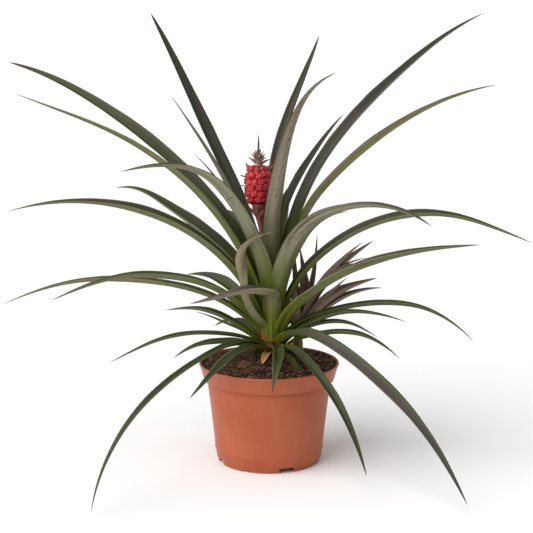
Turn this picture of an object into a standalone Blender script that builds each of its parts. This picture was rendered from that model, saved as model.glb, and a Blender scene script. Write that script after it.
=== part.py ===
"""Potted dwarf pineapple: a rosette of long channelled leaves with a young fruit and an offset.

Metres, +Z up, origin at the centre of the pot's foot. +X is the plant's wide side and
+Y is its back. Lengths in the tables are millimetres and angles are degrees.
"""

import math
import random

import bmesh
import bpy
import numpy as np
from mathutils import Matrix, Vector

MM = 0.001

# Pot
POT_HEIGHT = 86.0
RIM_RADIUS = 60.0
COLLAR_FOOT = 71.6          # height of the collar's lower edge
COLLAR_RADIUS = 55.9        # radius there
BODY_TOP_RADIUS = 53.0      # of the tapered body under the collar
BODY_FOOT_RADIUS = 45.3
BODY_FOOT = 4.0             # height of the body's lower edge, and of the foot ring
FOOT_OUTER = 43.8
FOOT_INNER = 38.5
WALL = 1.6
FLOOR_UNDERSIDE = 4.6
FLOOR_THICKNESS = 2.0
TALL_NOTCH = (13.5, 4.4)    # width and height of the larger notches in the foot ring
LOW_NOTCH = (10.0, 1.0)
BAND_HEIGHT = 12.0          # the moulded line round the lower body
BAND_STEP = 0.4
POT_SIDES = 48
FIRST_NOTCH = 290.0         # bearing of a tall notch in the foot ring
DRAIN_RADIUS = 4.0
DRAIN_CIRCLE = 27.0
DRAIN_COUNT = 6

# Soil
GAP = 0.3                   # between pieces that touch
SOIL_WALL_HEIGHT = 84.3     # where the soil meets the pot
SOIL_MOUND_HEIGHT = 95.5    # round the stem
SOIL_SIDES = 32
SOIL_RINGS = 7
SOIL_ROUGHNESS = 0.9

# Stem, with its foot in the soil
STEM_X = 3.0
STEM_Y = 6.0
STEM_FOOT = 70.0
STEM_KNEE = 95.0            # it tapers from here up
STEM_TOP = 150.0
STEM_RADIUS = 8.25
STEM_TOP_RADIUS = 4.75
LEAF_SEAT = 0.15            # from the stem's side to a leaf's rib, along a foot's slope
STEM_SIDES = 16

# Leaf blades
BLADE = 0.75                # thickness
STATION_SPACING = 25.0      # along a blade, between its rings
FINE_STEPS = 8              # integration steps between two rings
SHEATH_FOLD = 22.0          # half angle of the channel at the clasping foot
CHANNEL_FOLD = 38.0         # along the blade
TIP_FOLD = 28.0
TAPER = 0.43                # share of the length over which a blade narrows
TIP_SPAN = 0.7
ROLL_ONSET = 0.55           # share of the length over which a blade comes to its full roll
NECK = 0.45                 # a blade's span at its foot, as a share of its full span
NECK_LENGTH = 35.0          # along a blade, over which it widens to its full span
LONG_NECKS = {              # of leaves that squeeze between others, by their number
    24: 85, 25: 135, 26: 80, 32: 60, 33: 150, 36: 90,
    37: 80, 38: 55, 39: 60, 40: 105, 41: 115, 42: 120, 44: 120,
}

# Fruit, its stalk and its crown
FRUIT_X = -9.3
FRUIT_Y = 6.0
FRUIT_FOOT = 222.0
FRUIT_TOP = 256.5
FRUIT_RADIUS = 11.6
FRUIT_ROWS = 8
FRUIT_EYES = 12             # fruitlets round one row
STALK_RADIUS = 2.2
STALK_TOP_RADIUS = 3.4
STALK_SIDES = 10
CROWN_HEIGHT = 280.0        # top of the crown's middle spike

# Offset
PUP_X = 25.0
PUP_Y = 21.0
PUP_FOOT = 74.0
PUP_TOP = 108.0
PUP_RADIUS = 4.6

DRY_LEAF = 9                # the withered one at the stem's foot

# Each leaf: headings (0 is +X, 90 is +Y), height of its foot on the stem, pitches above the
# horizon at six even stations, length, span from edge to edge, roll, and taper exponent.
LEAVES = [
    # lowest whorl: short or drooping, over the rim of the pot
    ((240,), 97, (31, 8, -6, -16, -20, -20), 127, 9, 0, 0.8),
    ((227.5,), 99, (33, -6, -17, -30, -51, -76), 245, 7, 0, 0.8),
    ((209,), 96, (36, 20, 5, 0, -16, -32), 89, 9, 0, 0.8),
    ((199,), 101, (29, 13, 4, -9, -21, -24), 140, 6.5, 0, 0.8),
    ((188,), 104, (12, 34, 26, 25, 22, 16), 64, 4, 0, 0.8),
    ((161,), 98, (52, 30, 24, 10, -6, -14), 99, 9, 0, 0.8),
    ((197,), 93, (48, 22, 6, -14, -35, -60), 55, 4, 0, 0.8),
    ((230,), 93, (42, 24, 10, -6, -16, -20), 30, 4, 0, 0.8),
    ((254,), 94.5, (30, 4, -12, -20, -26, -30), 24, 8, 0, 0.8),
    ((281, 268, 252), 96, (44, 8, -2, -16, -42, -60), 86, 9, 0, 0.8),
    ((300,), 95, (13, -4, -16, -22, -16, -8), 41, 7, 0, 0.8),
    ((299, 303, 304), 99, (25, -13, -27, -38, -52, -62), 164, 9, 0, 0.8),
    ((303, 315, 319, 320), 101, (50, -4, -24, -33, -47, -57), 250, 14, 0, 0.8),
    ((345,), 96, (52, 18, 10, -6, -28, -42), 111, 8, 0, 0.8),
    ((8,), 99, (53, 28, 12, -6, -28, -36), 93, 7, 0, 0.8),
    ((350,), 102, (54, 28, 22, 3, -10, -20), 115, 7, 0, 0.8),
    ((0,), 108, (42, 20, 8, -6, -29, -49), 181, 9, 0, 0.8),
    ((66,), 98, (50, 20, 8, -8, -20, -30), 108, 9, 0, 0.8),
    ((92,), 101, (52, 30, 14, -4, -18, -30), 118, 10, 0, 0.8),
    ((124,), 97, (48, 18, 6, -6, -20, -30), 90, 9, 0, 0.8),
    # middle whorl: arching
    ((174,), 106, (57, 26, 8, -1, -15, -27), 246, 10, 0, 0.8),
    ((192,), 110, (61, 39, 16, 2, -15, -25), 202, 12, 0, 0.8),
    ((135,), 112, (37, 36, 31, 14, -2, -12), 112, 12, -20, 0.8),
    ((266, 250, 200, 185), 104, (81, 77, 40, 5, -19, -22), 124, 15, 0, 0.8),
    ((227.5, 212, 216, 285, 332, 352), 115.5, (36, 56, 82, 67, 32, 6), 122, 9.5, 0, 0.8),
    ((184,), 114, (78, 53, 33, 15, -1, -17), 266, 15, -8, 1.0),
    ((156,), 126, (72, 52, 37, 29, 25, -14), 187, 15, -8, 0.8),
    ((316, 335, 350, 355), 104, (80, 44, 32, 18, 9, 3), 208, 15, 0, 0.8),
    ((5,), 120, (81, 48, 26, 4, -18, -24), 264, 13, 8, 0.8),
    ((85,), 116, (74, 50, 34, 16, 0, -14), 165, 12, 0, 0.8),
    ((112,), 119, (74, 56, 42, 26, 8, -10), 160, 12, 0, 0.8),
    # upper whorl: steep
    ((194,), 128, (76, 62, 48, 34, 23, 21), 293, 11, 0, 0.8),
    ((161,), 132, (76, 57, 42, 34, 26, 13), 328, 14, -25, 0.6),
    ((166,), 147, (74, 70, 67, 60, 51, 42), 133, 5, 0, 0.8),
    ((192,), 143, (73, 72, 71, 61, 57, 55), 190, 8, 0, 0.8),
    ((137,), 138, (75, 66, 56, 56, 56, 52), 281, 14, 0, 0.6),
    ((249, 226, 205, 195), 124, (86, 67, 59, 46, 7, -15), 222, 17, 0, 0.8),
    ((291, 302, 320, 330), 118, (87, 65, 44, 21, -1, -31), 235, 16, 0, 0.8),
    ((331,), 125.5, (81, 77, 67, 56, 33, 6), 123, 8, 0, 0.8),
    ((356,), 132, (81, 75, 50, 38, 26, 10), 281, 13, 8, 0.8),
    ((40, 35, 35, 35), 142, (78, 67, 47, 36, 30, 18), 348, 14, 0, 0.8),
    ((79, 52, 48, 50), 145, (84, 78, 59, 46, 40, 30), 184, 9, 0, 0.8),
    ((262, 280, 305, 325, 335), 136, (87, 82, 72, 73, 61, 20), 221, 15, 0, 0.8),
    ((128.5, 48, 56, 72), 144, (77, 77, 78, 60, 47, 38), 247, 10, 0, 0.8),
    ((80,), 128, (80, 68, 52, 36, 16, -6), 155, 11, 0, 0.8),
    ((335, 360, 380, 385), 148, (86, 88, 87, 82, 68, 50), 106, 4, 0, 0.8),
]

# The offset's leaves: headings, pitches, length, span. Their feet are in its own short stem.
PUP_LEAVES = [
    ((170,), (88, 88, 87, 86, 86, 86), 92, 8),
    ((60, 30, 20), (72, 64, 70, 80, 86, 88), 93, 6),
    ((352,), (82, 70, 62, 52, 44, 38), 106, 10),
    ((12,), (80, 66, 56, 46, 36, 32), 112, 13),
    ((2,), (82, 72, 62, 46, 26, 8), 102, 6),
    ((22,), (80, 69, 55, 34, 8, -12), 111, 6),
    ((20, 40, 120, 150), (80, 80, 80, 78, 80, 82), 84, 8),
    ((345,), (76, 66, 56, 48, 44, 40), 76, 9),
    ((8,), (72, 60, 46, 30, 18, 12), 95, 14),
    ((15,), (66, 52, 38, 24, 10, -4), 96, 9),
    ((240,), (80, 78, 80, 84, 86, 88), 56, 9),
    ((130,), (78, 70, 58, 44, 30, 16), 80, 8),
    ((60,), (74, 62, 48, 32, 16, 2), 88, 8),
]


# ---- Blade geometry, in millimetres


def along(values, share):
    """Smooth value at a share (0 to 1) of the way along evenly spaced values."""
    last = len(values) - 1
    if last == 0:
        return values[0]
    place = min(max(share, 0.0), 1.0) * last
    i = min(int(place), last - 1)
    t = place - i
    a, b = values[i], values[i + 1]
    before = values[i - 1] if i else 2 * a - b
    after = values[i + 2] if i + 2 <= last else 2 * b - a
    bend = 2 * before - 5 * a + 4 * b - after
    twist = 3 * (a - b) + after - before
    return a + 0.5 * t * (b - before + t * (bend + t * twist))


def stem_radius(height):
    """The stem's radius at a height: even in the soil, tapering above it."""
    share = (height - STEM_KNEE) / (STEM_TOP - STEM_KNEE)
    return STEM_RADIUS + min(max(share, 0.0), 1.0) * (STEM_TOP_RADIUS - STEM_RADIUS)


def spine(foot, headings, pitches, length, steps, roll=0):
    """Stations along a blade's rib: each has a point and the sideways and upward directions."""
    point = np.array(foot, dtype=float)
    stride = length / (steps * FINE_STEPS)
    stations = []
    for k in range(steps * FINE_STEPS + 1):
        if k:
            forward, _ = directions(headings, pitches, (k - 0.5) / (steps * FINE_STEPS))
            point = point + forward * stride
        if k % FINE_STEPS == 0:
            forward, side = directions(headings, pitches, k / (steps * FINE_STEPS))
            up = np.cross(forward, side)
            tilt = math.radians(roll) * min(1.0, k / (steps * FINE_STEPS * ROLL_ONSET))
            tilted_side = side * math.cos(tilt) + up * math.sin(tilt)
            tilted_up = up * math.cos(tilt) - side * math.sin(tilt)
            stations.append((point, tilted_side, tilted_up))
    return stations


def directions(headings, pitches, share):
    """A blade's forward direction and its level sideways direction."""
    heading = math.radians(along(headings, share))
    pitch = math.radians(along(pitches, share))
    level = np.array([math.cos(heading), math.sin(heading), 0.0])
    side = np.array([-math.sin(heading), math.cos(heading), 0.0])
    return level * math.cos(pitch) + np.array([0.0, 0.0, math.sin(pitch)]), side


def fold_at(share):
    """Half angle of the channel: shallow at the clasping foot, deep along the blade."""
    if share < 0.2:
        return SHEATH_FOLD + (CHANNEL_FOLD - SHEATH_FOLD) * share / 0.2
    return CHANNEL_FOLD + (TIP_FOLD - CHANNEL_FOLD) * max(0.0, (share - 0.6) / 0.4)


def span_at(span, share, sharpness, widening):
    """Distance from edge to edge: narrow at the foot, even along the blade, then to a point."""
    neck = min(1.0, NECK + (1.0 - NECK) * share / widening)
    return TIP_SPAN + (span - TIP_SPAN) * neck * min(1.0, (1.0 - share) / TAPER) ** sharpness


def section(point, side, up, span, fold):
    """Six corners of a channelled blade: upper left, rib and right, then lower ones back."""
    slope = math.radians(fold)
    half = 0.5 * span
    lift = up * 0.5 * half * math.tan(slope)
    left = point + side * half + lift
    right = point - side * half + lift
    across_left = up * math.cos(slope) - side * math.sin(slope)
    across_right = up * math.cos(slope) + side * math.sin(slope)
    rib = up * 0.5 * BLADE / math.cos(slope)
    return [
        left + across_left * 0.5 * BLADE,
        point - lift + rib,
        right + across_right * 0.5 * BLADE,
        right - across_right * 0.5 * BLADE,
        point - lift - rib,
        left - across_left * 0.5 * BLADE,
    ]


def leaf_foot(heading, height):
    """Where a leaf's rib leaves the stem: its channel just clears the stem's side."""
    reach = (stem_radius(height) + LEAF_SEAT) / math.cos(math.radians(SHEATH_FOLD))
    bearing = math.radians(heading)
    return STEM_X + reach * math.cos(bearing), STEM_Y + reach * math.sin(bearing), height


def leaf_rings(leaf, neck=NECK_LENGTH):
    """Cross-sections of one of LEAVES from its foot to its tip."""
    headings, height, pitches, length, span, roll, sharpness = leaf
    steps = max(5, round(length / STATION_SPACING))
    stations = spine(leaf_foot(headings[0], height), headings, pitches, length, steps, roll)
    return rings_of(stations, span, sharpness, max(neck / length, 0.02))


def rings_of(stations, span, sharpness, widening):
    """Cross-sections at every station; the blade widens over this share of its length."""
    rings = []
    for k, (point, side, up) in enumerate(stations):
        share = k / (len(stations) - 1)
        width = span_at(span, share, sharpness, widening)
        rings.append(section(point, side, up, width, fold_at(share)))
    return rings


def stalk_point(height):
    """The fruit's stalk leans from the top of the stem to the middle of the fruit's foot."""
    share = (height - STEM_TOP) / (FRUIT_FOOT - STEM_TOP)
    ease = share * share * (3 - 2 * share)
    x = STEM_X + (FRUIT_X - STEM_X) * ease
    y = STEM_Y + (FRUIT_Y - STEM_Y) * ease
    return np.array([x, y, height])


def soil_height(x, y):
    """The soil's top: level at the pot's wall and heaped up round the stem."""
    distance = math.hypot(x - STEM_X, y - STEM_Y)
    rise = min(0.74, max(0.0, 1.0 - distance / RIM_RADIUS) ** 1.3)
    return SOIL_WALL_HEIGHT + (SOIL_MOUND_HEIGHT - SOIL_WALL_HEIGHT) * rise


# ---- Objects


def clear_scene():
    """Remove whatever the file opened with."""
    for item in list(bpy.data.objects):
        bpy.data.objects.remove(item, do_unlink=True)


def material(name, colour, roughness):
    """A plain Principled material."""
    made = bpy.data.materials.new(name)
    made.use_nodes = True
    shader = made.node_tree.nodes["Principled BSDF"]
    shader.inputs["Base Color"].default_value = (*colour, 1.0)
    shader.inputs["Roughness"].default_value = roughness
    made.diffuse_color = (*colour, 1.0)
    return made


def mesh_object(name, bm, surface, smooth_angle=None):
    """Turn a bmesh in millimetres into a named object in metres with outward faces."""
    bmesh.ops.recalc_face_normals(bm, faces=bm.faces)
    bmesh.ops.scale(bm, vec=(MM, MM, MM), verts=bm.verts)
    mesh = bpy.data.meshes.new(name)
    bm.to_mesh(mesh)
    bm.free()
    if smooth_angle is not None:
        mesh.shade_smooth()
        mesh.set_sharp_from_angle(angle=math.radians(smooth_angle))
    made = bpy.data.objects.new(name, mesh)
    mesh.materials.append(surface)
    bpy.context.scene.collection.objects.link(made)
    return made


def turned(profile, sides, centre=(0.0, 0.0)):
    """A bmesh turned about the vertical from a closed outline of (radius, height) points."""
    bm = bmesh.new()
    corners = [bm.verts.new((radius, 0.0, height)) for radius, height in profile]
    edges = [bm.edges.new(pair) for pair in zip(corners, corners[1:] + corners[:1])]
    bmesh.ops.spin(
        bm,
        geom=corners + edges,
        cent=(0.0, 0.0, 0.0),
        axis=(0.0, 0.0, 1.0),
        angle=2.0 * math.pi,
        steps=sides,
        use_merge=True,
    )
    bmesh.ops.remove_doubles(bm, verts=bm.verts, dist=0.001)
    on_axis = [e for e in bm.edges if not e.link_faces]
    bmesh.ops.delete(bm, geom=on_axis, context="EDGES")
    bmesh.ops.translate(bm, vec=(*centre, 0.0), verts=bm.verts)
    return bm


def tube(points, radii, sides):
    """A bmesh of level rings along points, closed at both ends."""
    bm = bmesh.new()
    rings = []
    for point, radius in zip(points, radii):
        ring = []
        for k in range(sides):
            bearing = 2.0 * math.pi * k / sides
            offset = (radius * math.cos(bearing), radius * math.sin(bearing), 0.0)
            ring.append(bm.verts.new(Vector(point) + Vector(offset)))
        rings.append(ring)
    for lower, upper in zip(rings, rings[1:]):
        for k in range(sides):
            after = (k + 1) % sides
            bm.faces.new((lower[k], lower[after], upper[after], upper[k]))
    bm.faces.new(rings[0][::-1])
    bm.faces.new(rings[-1])
    return bm


def blade(rings):
    """A bmesh skinned over a blade's cross-sections, split alike on both faces."""
    bm = bmesh.new()
    skin = [[bm.verts.new(corner) for corner in ring] for ring in rings]
    strips = ((0, 1, False), (1, 2, False), (2, 3, False), (3, 4, True), (4, 5, True), (5, 0, False))
    for near, far in zip(skin, skin[1:]):
        for a, b, mirrored in strips:
            if mirrored:
                bm.faces.new((near[a], near[b], far[a]))
                bm.faces.new((near[b], far[b], far[a]))
            else:
                bm.faces.new((near[a], near[b], far[b]))
                bm.faces.new((near[a], far[b], far[a]))
    for end in (skin[0], skin[-1]):
        bm.faces.new((end[0], end[1], end[4], end[5]))
        bm.faces.new((end[1], end[2], end[3], end[4]))
    return bm


def guide(cutter):
    """Mark an object as a cutter, which is never part of the model."""
    cutter.hide_render = True
    cutter.display_type = "WIRE"


def combine(base, others, operation, solver="EXACT"):
    """Apply one Boolean of base with every other object, then remove the others."""
    group = bpy.data.collections.new(base.name + "_tools")
    bpy.context.scene.collection.children.link(group)
    for other in others:
        guide(other)
        group.objects.link(other)
    modifier = base.modifiers.new("combine", "BOOLEAN")
    modifier.operation = operation
    modifier.operand_type = "COLLECTION"
    modifier.collection = group
    modifier.solver = solver
    bpy.context.view_layer.update()
    evaluated = base.evaluated_get(bpy.context.evaluated_depsgraph_get())
    mesh = bpy.data.meshes.new_from_object(evaluated)
    base.modifiers.clear()
    base.data = mesh
    for other in others:
        bpy.data.objects.remove(other, do_unlink=True)
    bpy.data.collections.remove(group)
    return base


def pot_wall_radius(height):
    """The outer radius of the pot's tapered body."""
    share = (height - BODY_FOOT) / (COLLAR_FOOT - BODY_FOOT)
    return BODY_FOOT_RADIUS + (BODY_TOP_RADIUS - BODY_FOOT_RADIUS) * share


def make_pot(surface):
    """The pot: a turned wall with a collar, a foot ring with notches and holes in its floor."""
    floor = FLOOR_UNDERSIDE + FLOOR_THICKNESS
    profile = [
        (0.0, FLOOR_UNDERSIDE),
        (FOOT_INNER, FLOOR_UNDERSIDE),
        (FOOT_INNER, 0.0),
        (FOOT_OUTER, 0.0),
        (FOOT_OUTER, BODY_FOOT),
        (BODY_FOOT_RADIUS, BODY_FOOT),
        (pot_wall_radius(BAND_HEIGHT), BAND_HEIGHT),
        (pot_wall_radius(BAND_HEIGHT) + BAND_STEP, BAND_HEIGHT + BAND_STEP),
        (BODY_TOP_RADIUS, COLLAR_FOOT - 1.8),
        (COLLAR_RADIUS - 0.5, COLLAR_FOOT - 0.6),
        (COLLAR_RADIUS, COLLAR_FOOT),
        (RIM_RADIUS - 0.5, POT_HEIGHT - 2.2),
        (RIM_RADIUS, POT_HEIGHT - 1.4),
        (RIM_RADIUS, POT_HEIGHT - 0.5),
        (RIM_RADIUS - 0.5, POT_HEIGHT),
        (RIM_RADIUS - WALL, POT_HEIGHT),
        (COLLAR_RADIUS - WALL, COLLAR_FOOT + 0.6),
        (BODY_TOP_RADIUS - WALL, COLLAR_FOOT - 2.4),
        (BODY_FOOT_RADIUS - WALL, floor),
        (0.0, floor),
    ]
    pot = mesh_object("pot", turned(profile, POT_SIDES), surface, 40)
    cutters = []
    for k in range(8):
        cutters.append(notch_cutter(FIRST_NOTCH + 45.0 * k, *(LOW_NOTCH if k % 2 else TALL_NOTCH)))
    for k in range(DRAIN_COUNT):
        cutters.append(drain_cutter(360.0 * k / DRAIN_COUNT))
    return combine(pot, cutters, "DIFFERENCE")


def notch_cutter(bearing, width, height):
    """A box across the foot ring, from below the pot up to a height."""
    bm = bmesh.new()
    bmesh.ops.create_cube(bm, size=1.0)
    depth = 2.0 * (FOOT_OUTER - FOOT_INNER)
    bmesh.ops.scale(bm, vec=(depth, width, 2.0 * height), verts=bm.verts)
    bmesh.ops.translate(bm, vec=(0.5 * (FOOT_OUTER + FOOT_INNER), 0.0, 0.0), verts=bm.verts)
    turn = Matrix.Rotation(math.radians(bearing), 3, "Z")
    bmesh.ops.rotate(bm, cent=(0.0, 0.0, 0.0), matrix=turn, verts=bm.verts)
    return mesh_object("notch_cutter", bm, bpy.data.materials[0])


def drain_cutter(bearing):
    """A round cutter through the pot's floor."""
    bm = bmesh.new()
    bmesh.ops.create_cone(
        bm, cap_ends=True, segments=12, radius1=DRAIN_RADIUS, radius2=DRAIN_RADIUS, depth=20.0
    )
    angle = math.radians(bearing)
    place = (DRAIN_CIRCLE * math.cos(angle), DRAIN_CIRCLE * math.sin(angle), BODY_FOOT)
    bmesh.ops.translate(bm, vec=place, verts=bm.verts)
    return mesh_object("drain_cutter", bm, bpy.data.materials[0])


def make_soil(surface):
    """Soil that fills the pot with a rough, heaped top and two holes for the stems."""
    foot = FLOOR_UNDERSIDE + FLOOR_THICKNESS + GAP
    inside = WALL + 1.5 * GAP
    wall_slope = (RIM_RADIUS - COLLAR_RADIUS) / (POT_HEIGHT - COLLAR_FOOT)
    edge = COLLAR_RADIUS - inside + wall_slope * (SOIL_WALL_HEIGHT - COLLAR_FOOT - 0.6)
    rings = [edge * (SOIL_RINGS - k) / SOIL_RINGS for k in range(SOIL_RINGS + 1)]
    profile = [(0.0, foot), (BODY_FOOT_RADIUS - inside, foot)]
    profile += [(BODY_TOP_RADIUS - inside, COLLAR_FOOT - 2.4)]
    profile += [(COLLAR_RADIUS - inside, COLLAR_FOOT + 0.6)]
    profile += [(radius, SOIL_WALL_HEIGHT) for radius in rings]
    bm = turned(profile, SOIL_SIDES)
    rough = random.Random(7)
    for corner in bm.verts:
        x, y, z = corner.co
        if z > SOIL_WALL_HEIGHT - 0.1 and math.hypot(x, y) < edge - 0.1:
            corner.co.z = soil_height(x, y) + rough.uniform(-1.0, 0.4) * SOIL_ROUGHNESS
    soil = mesh_object("soil", bm, surface)
    cutters = []
    for x, y, bottom, radius in (
        (STEM_X, STEM_Y, STEM_FOOT, STEM_RADIUS),
        (PUP_X, PUP_Y, PUP_FOOT, PUP_RADIUS),
    ):
        hole = turned(
            [(0.0, bottom - GAP), (radius + GAP, bottom - GAP), (radius + GAP, 120.0), (0.0, 120.0)],
            STEM_SIDES,
            (x, y),
        )
        cutters.append(mesh_object("stem_hole_cutter", hole, surface))
    return combine(soil, cutters, "DIFFERENCE")


def make_stem(surface):
    """The short main stem that every leaf stands on."""
    profile = [
        (0.0, STEM_FOOT),
        (STEM_RADIUS - 1.0, STEM_FOOT),
        (STEM_RADIUS, STEM_FOOT + 2.0),
        (STEM_RADIUS, STEM_KNEE),
        (STEM_TOP_RADIUS, STEM_TOP - 0.8),
        (STEM_TOP_RADIUS - 0.8, STEM_TOP),
        (0.0, STEM_TOP),
    ]
    return mesh_object("stem", turned(profile, STEM_SIDES, (STEM_X, STEM_Y)), surface, 40)


def make_stalk(surface):
    """The fruit's stalk with the scales on it and the long bracts under the fruit."""
    heights = [STEM_TOP + GAP, 162.0, 175.0, 190.0, 205.0, 214.0, FRUIT_FOOT - GAP]
    points = [stalk_point(height) for height in heights]
    radii = [STALK_RADIUS] * 5 + [2.6, STALK_TOP_RADIUS]
    stalk = mesh_object("fruit_stalk", tube(points, radii, STALK_SIDES), surface, 40)
    bracts = []
    for k in range(9):
        bearing = 137.5 * k
        root = stalk_point(158.0 + 5.2 * k)
        bracts.append(bract("scale", root, bearing, (86, 84, 82), 13.0, 3.6, surface))
    for k in range(10):
        bearing = 36.0 * k + 8.0
        root = stalk_point(210.0 + 2.0 * (k % 2))
        bracts.append(bract("bract", root, bearing, (34, 44, 58), 15.0, 4.2, surface))
    return combine(stalk, bracts, "UNION")


def bract(name, root, bearing, pitches, length, span, surface):
    """A short pointed blade whose root is inside the piece it grows on."""
    stations = spine(root, (bearing,), pitches, length, 3)
    return mesh_object(name, blade(rings_of(stations, span, 0.9, 0.3)), surface)


def fruit_radius(share):
    """The fruit's outline: a rounded barrel, a little narrower at its top."""
    round_off = (1.0 - abs(2.0 * share - 1.0) ** 3.2) ** 0.5
    return 3.6 + (FRUIT_RADIUS - 3.6) * round_off * (1.03 - 0.10 * share)


def make_fruit(surface):
    """Rows of swollen fruitlets on a barrel, each a dome between deep grooves."""
    bm = bmesh.new()
    rows = FRUIT_ROWS
    height = FRUIT_TOP - FRUIT_FOOT

    def place(row, eye, scale):
        share = row / rows
        bearing = 2.0 * math.pi * eye / FRUIT_EYES
        radius = fruit_radius(min(max(share, 0.0), 1.0)) * scale
        x = FRUIT_X + radius * math.cos(bearing)
        y = FRUIT_Y + radius * math.sin(bearing)
        return bm.verts.new((x, y, FRUIT_FOOT + height * share))

    grooves = [
        [place(row, eye + 0.5 * (row % 2), 0.86) for eye in range(FRUIT_EYES)] for row in range(rows + 1)
    ]
    for row in range(1, rows):
        for eye in range(FRUIT_EYES):
            middle = eye + 0.5 + 0.5 * (row % 2)
            left = grooves[row][eye]
            right = grooves[row][(eye + 1) % FRUIT_EYES]
            shift = row % 2
            below = grooves[row - 1][(eye + shift) % FRUIT_EYES]
            above = grooves[row + 1][(eye + shift) % FRUIT_EYES]
            corners = (left, below, right, above)
            crest = [
                place(row - 0.05, middle - 0.26, 0.99),
                place(row - 0.52, middle, 0.99),
                place(row - 0.05, middle + 0.26, 0.99),
                place(row + 0.42, middle, 0.99),
            ]
            for k in range(4):
                after = (k + 1) % 4
                bm.faces.new((corners[k], corners[after], crest[after], crest[k]))
            tip = place(row - 0.02, middle, 1.07)
            for k in range(4):
                bm.faces.new((crest[k], crest[(k + 1) % 4], tip))
    for row, level in ((0, FRUIT_FOOT), (rows, FRUIT_TOP)):
        ring = grooves[row]
        inner = grooves[1 if row == 0 else rows - 1]
        shift = row % 2
        for eye in range(FRUIT_EYES):
            after = (eye + 1) % FRUIT_EYES
            bm.faces.new((ring[eye], ring[after], inner[(eye + shift) % FRUIT_EYES]))
        bm.faces.new(ring)
    bmesh.ops.triangulate(bm, faces=bm.faces)
    fruit = mesh_object("fruit", bm, surface)
    spikes = []
    for k, (bearing, level) in enumerate(
        ((172, 249), (195, 241), (182, 232), (20, 250), (330, 246), (75, 240), (120, 247), (250, 244))
    ):
        angle = math.radians(bearing)
        root = (FRUIT_X + 8.0 * math.cos(angle), FRUIT_Y + 8.0 * math.sin(angle), level)
        spikes.append(bract("spike", root, bearing, (10, 20, 50), 9.5, 2.2, surface))
    return combine(fruit, spikes, "UNION")


def make_crown(surface):
    """The tuft on the fruit: small stiff leaves round a middle spike."""
    foot = FRUIT_TOP + GAP
    core = [(0.0, foot), (4.0, foot), (3.2, foot + 4.0), (1.2, foot + 9.0), (0.0, foot + 9.5)]
    crown = mesh_object("crown", turned(core, 10, (FRUIT_X, FRUIT_Y)), surface, 40)
    leaves = [
        bract(
            "crown_spike",
            (FRUIT_X + 0.2, FRUIT_Y + 0.1, foot + 6.0),
            23.0,
            (88, 89, 90),
            CROWN_HEIGHT - foot - 6.0,
            2.4,
            surface,
        )
    ]
    for k in range(24):
        tier = k / 24
        pitch = 22 + 50 * tier
        root = (FRUIT_X, FRUIT_Y, foot + 1.4 + 5.6 * tier)
        pitches = (pitch, pitch + 8, pitch + 14)
        length = 12.5 + 2.0 * tier
        leaves.append(bract("crown_leaf", root, 137.5 * k + 4.0, pitches, length, 3.2, surface))
    return combine(crown, leaves, "UNION")


def make_leaf(index, leaf, surface):
    """One of LEAVES as a closed blade."""
    rings = leaf_rings(leaf, LONG_NECKS.get(index, NECK_LENGTH))
    return mesh_object(f"leaf_{index:02d}", blade(rings), surface, 30)


def make_pup(surface):
    """The offset beside the stem: its own short stem with all its leaves joined to it."""
    profile = [
        (0.0, PUP_FOOT),
        (PUP_RADIUS - 0.8, PUP_FOOT),
        (PUP_RADIUS, PUP_FOOT + 2.0),
        (PUP_RADIUS, 98.0),
        (2.2, PUP_TOP),
        (0.0, PUP_TOP),
    ]
    pup = mesh_object("offset_plant", turned(profile, STEM_SIDES, (PUP_X, PUP_Y)), surface, 30)
    leaves = []
    for k, (headings, pitches, length, span) in enumerate(PUP_LEAVES):
        root = (PUP_X, PUP_Y, 93.0 + 9.0 * (len(PUP_LEAVES) - k) / len(PUP_LEAVES))
        steps = max(5, round(length / 17.0))
        stations = spine(root, headings, pitches, length, steps)
        leaves.append(mesh_object("offset_leaf", blade(rings_of(stations, span, 0.8, 0.3)), surface))
    return combine(pup, leaves, "UNION")


def build():
    """Make every piece of the plant and its pot."""
    clear_scene()
    clay = material("terracotta_plastic", (0.56, 0.19, 0.09), 0.55)
    earth = material("soil", (0.05, 0.03, 0.02), 0.95)
    green = material("leaf", (0.10, 0.13, 0.06), 0.5)
    dry = material("dry_leaf", (0.55, 0.26, 0.10), 0.7)
    woody = material("stem", (0.30, 0.22, 0.10), 0.7)
    red = material("fruit", (0.60, 0.04, 0.05), 0.35)
    pink = material("fruit_stalk", (0.35, 0.16, 0.12), 0.6)
    tuft = material("crown", (0.25, 0.20, 0.15), 0.6)
    make_pot(clay)
    make_soil(earth)
    make_stem(woody)
    make_stalk(pink)
    make_fruit(red)
    make_crown(tuft)
    make_pup(green)
    for index, leaf in enumerate(LEAVES, 1):
        make_leaf(index, leaf, dry if index == DRY_LEAF else green)


build()
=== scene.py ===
"""Looks of the potted dwarf pineapple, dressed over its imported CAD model.

The frame is in metres. The tables here are in millimetres and degrees, as in the part's own
source, and every piece is scaled by MM on its way into Blender.
"""

import math
import random

import bmesh
import bpy
import numpy as np
from mathutils import Matrix, Vector, noise


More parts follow.
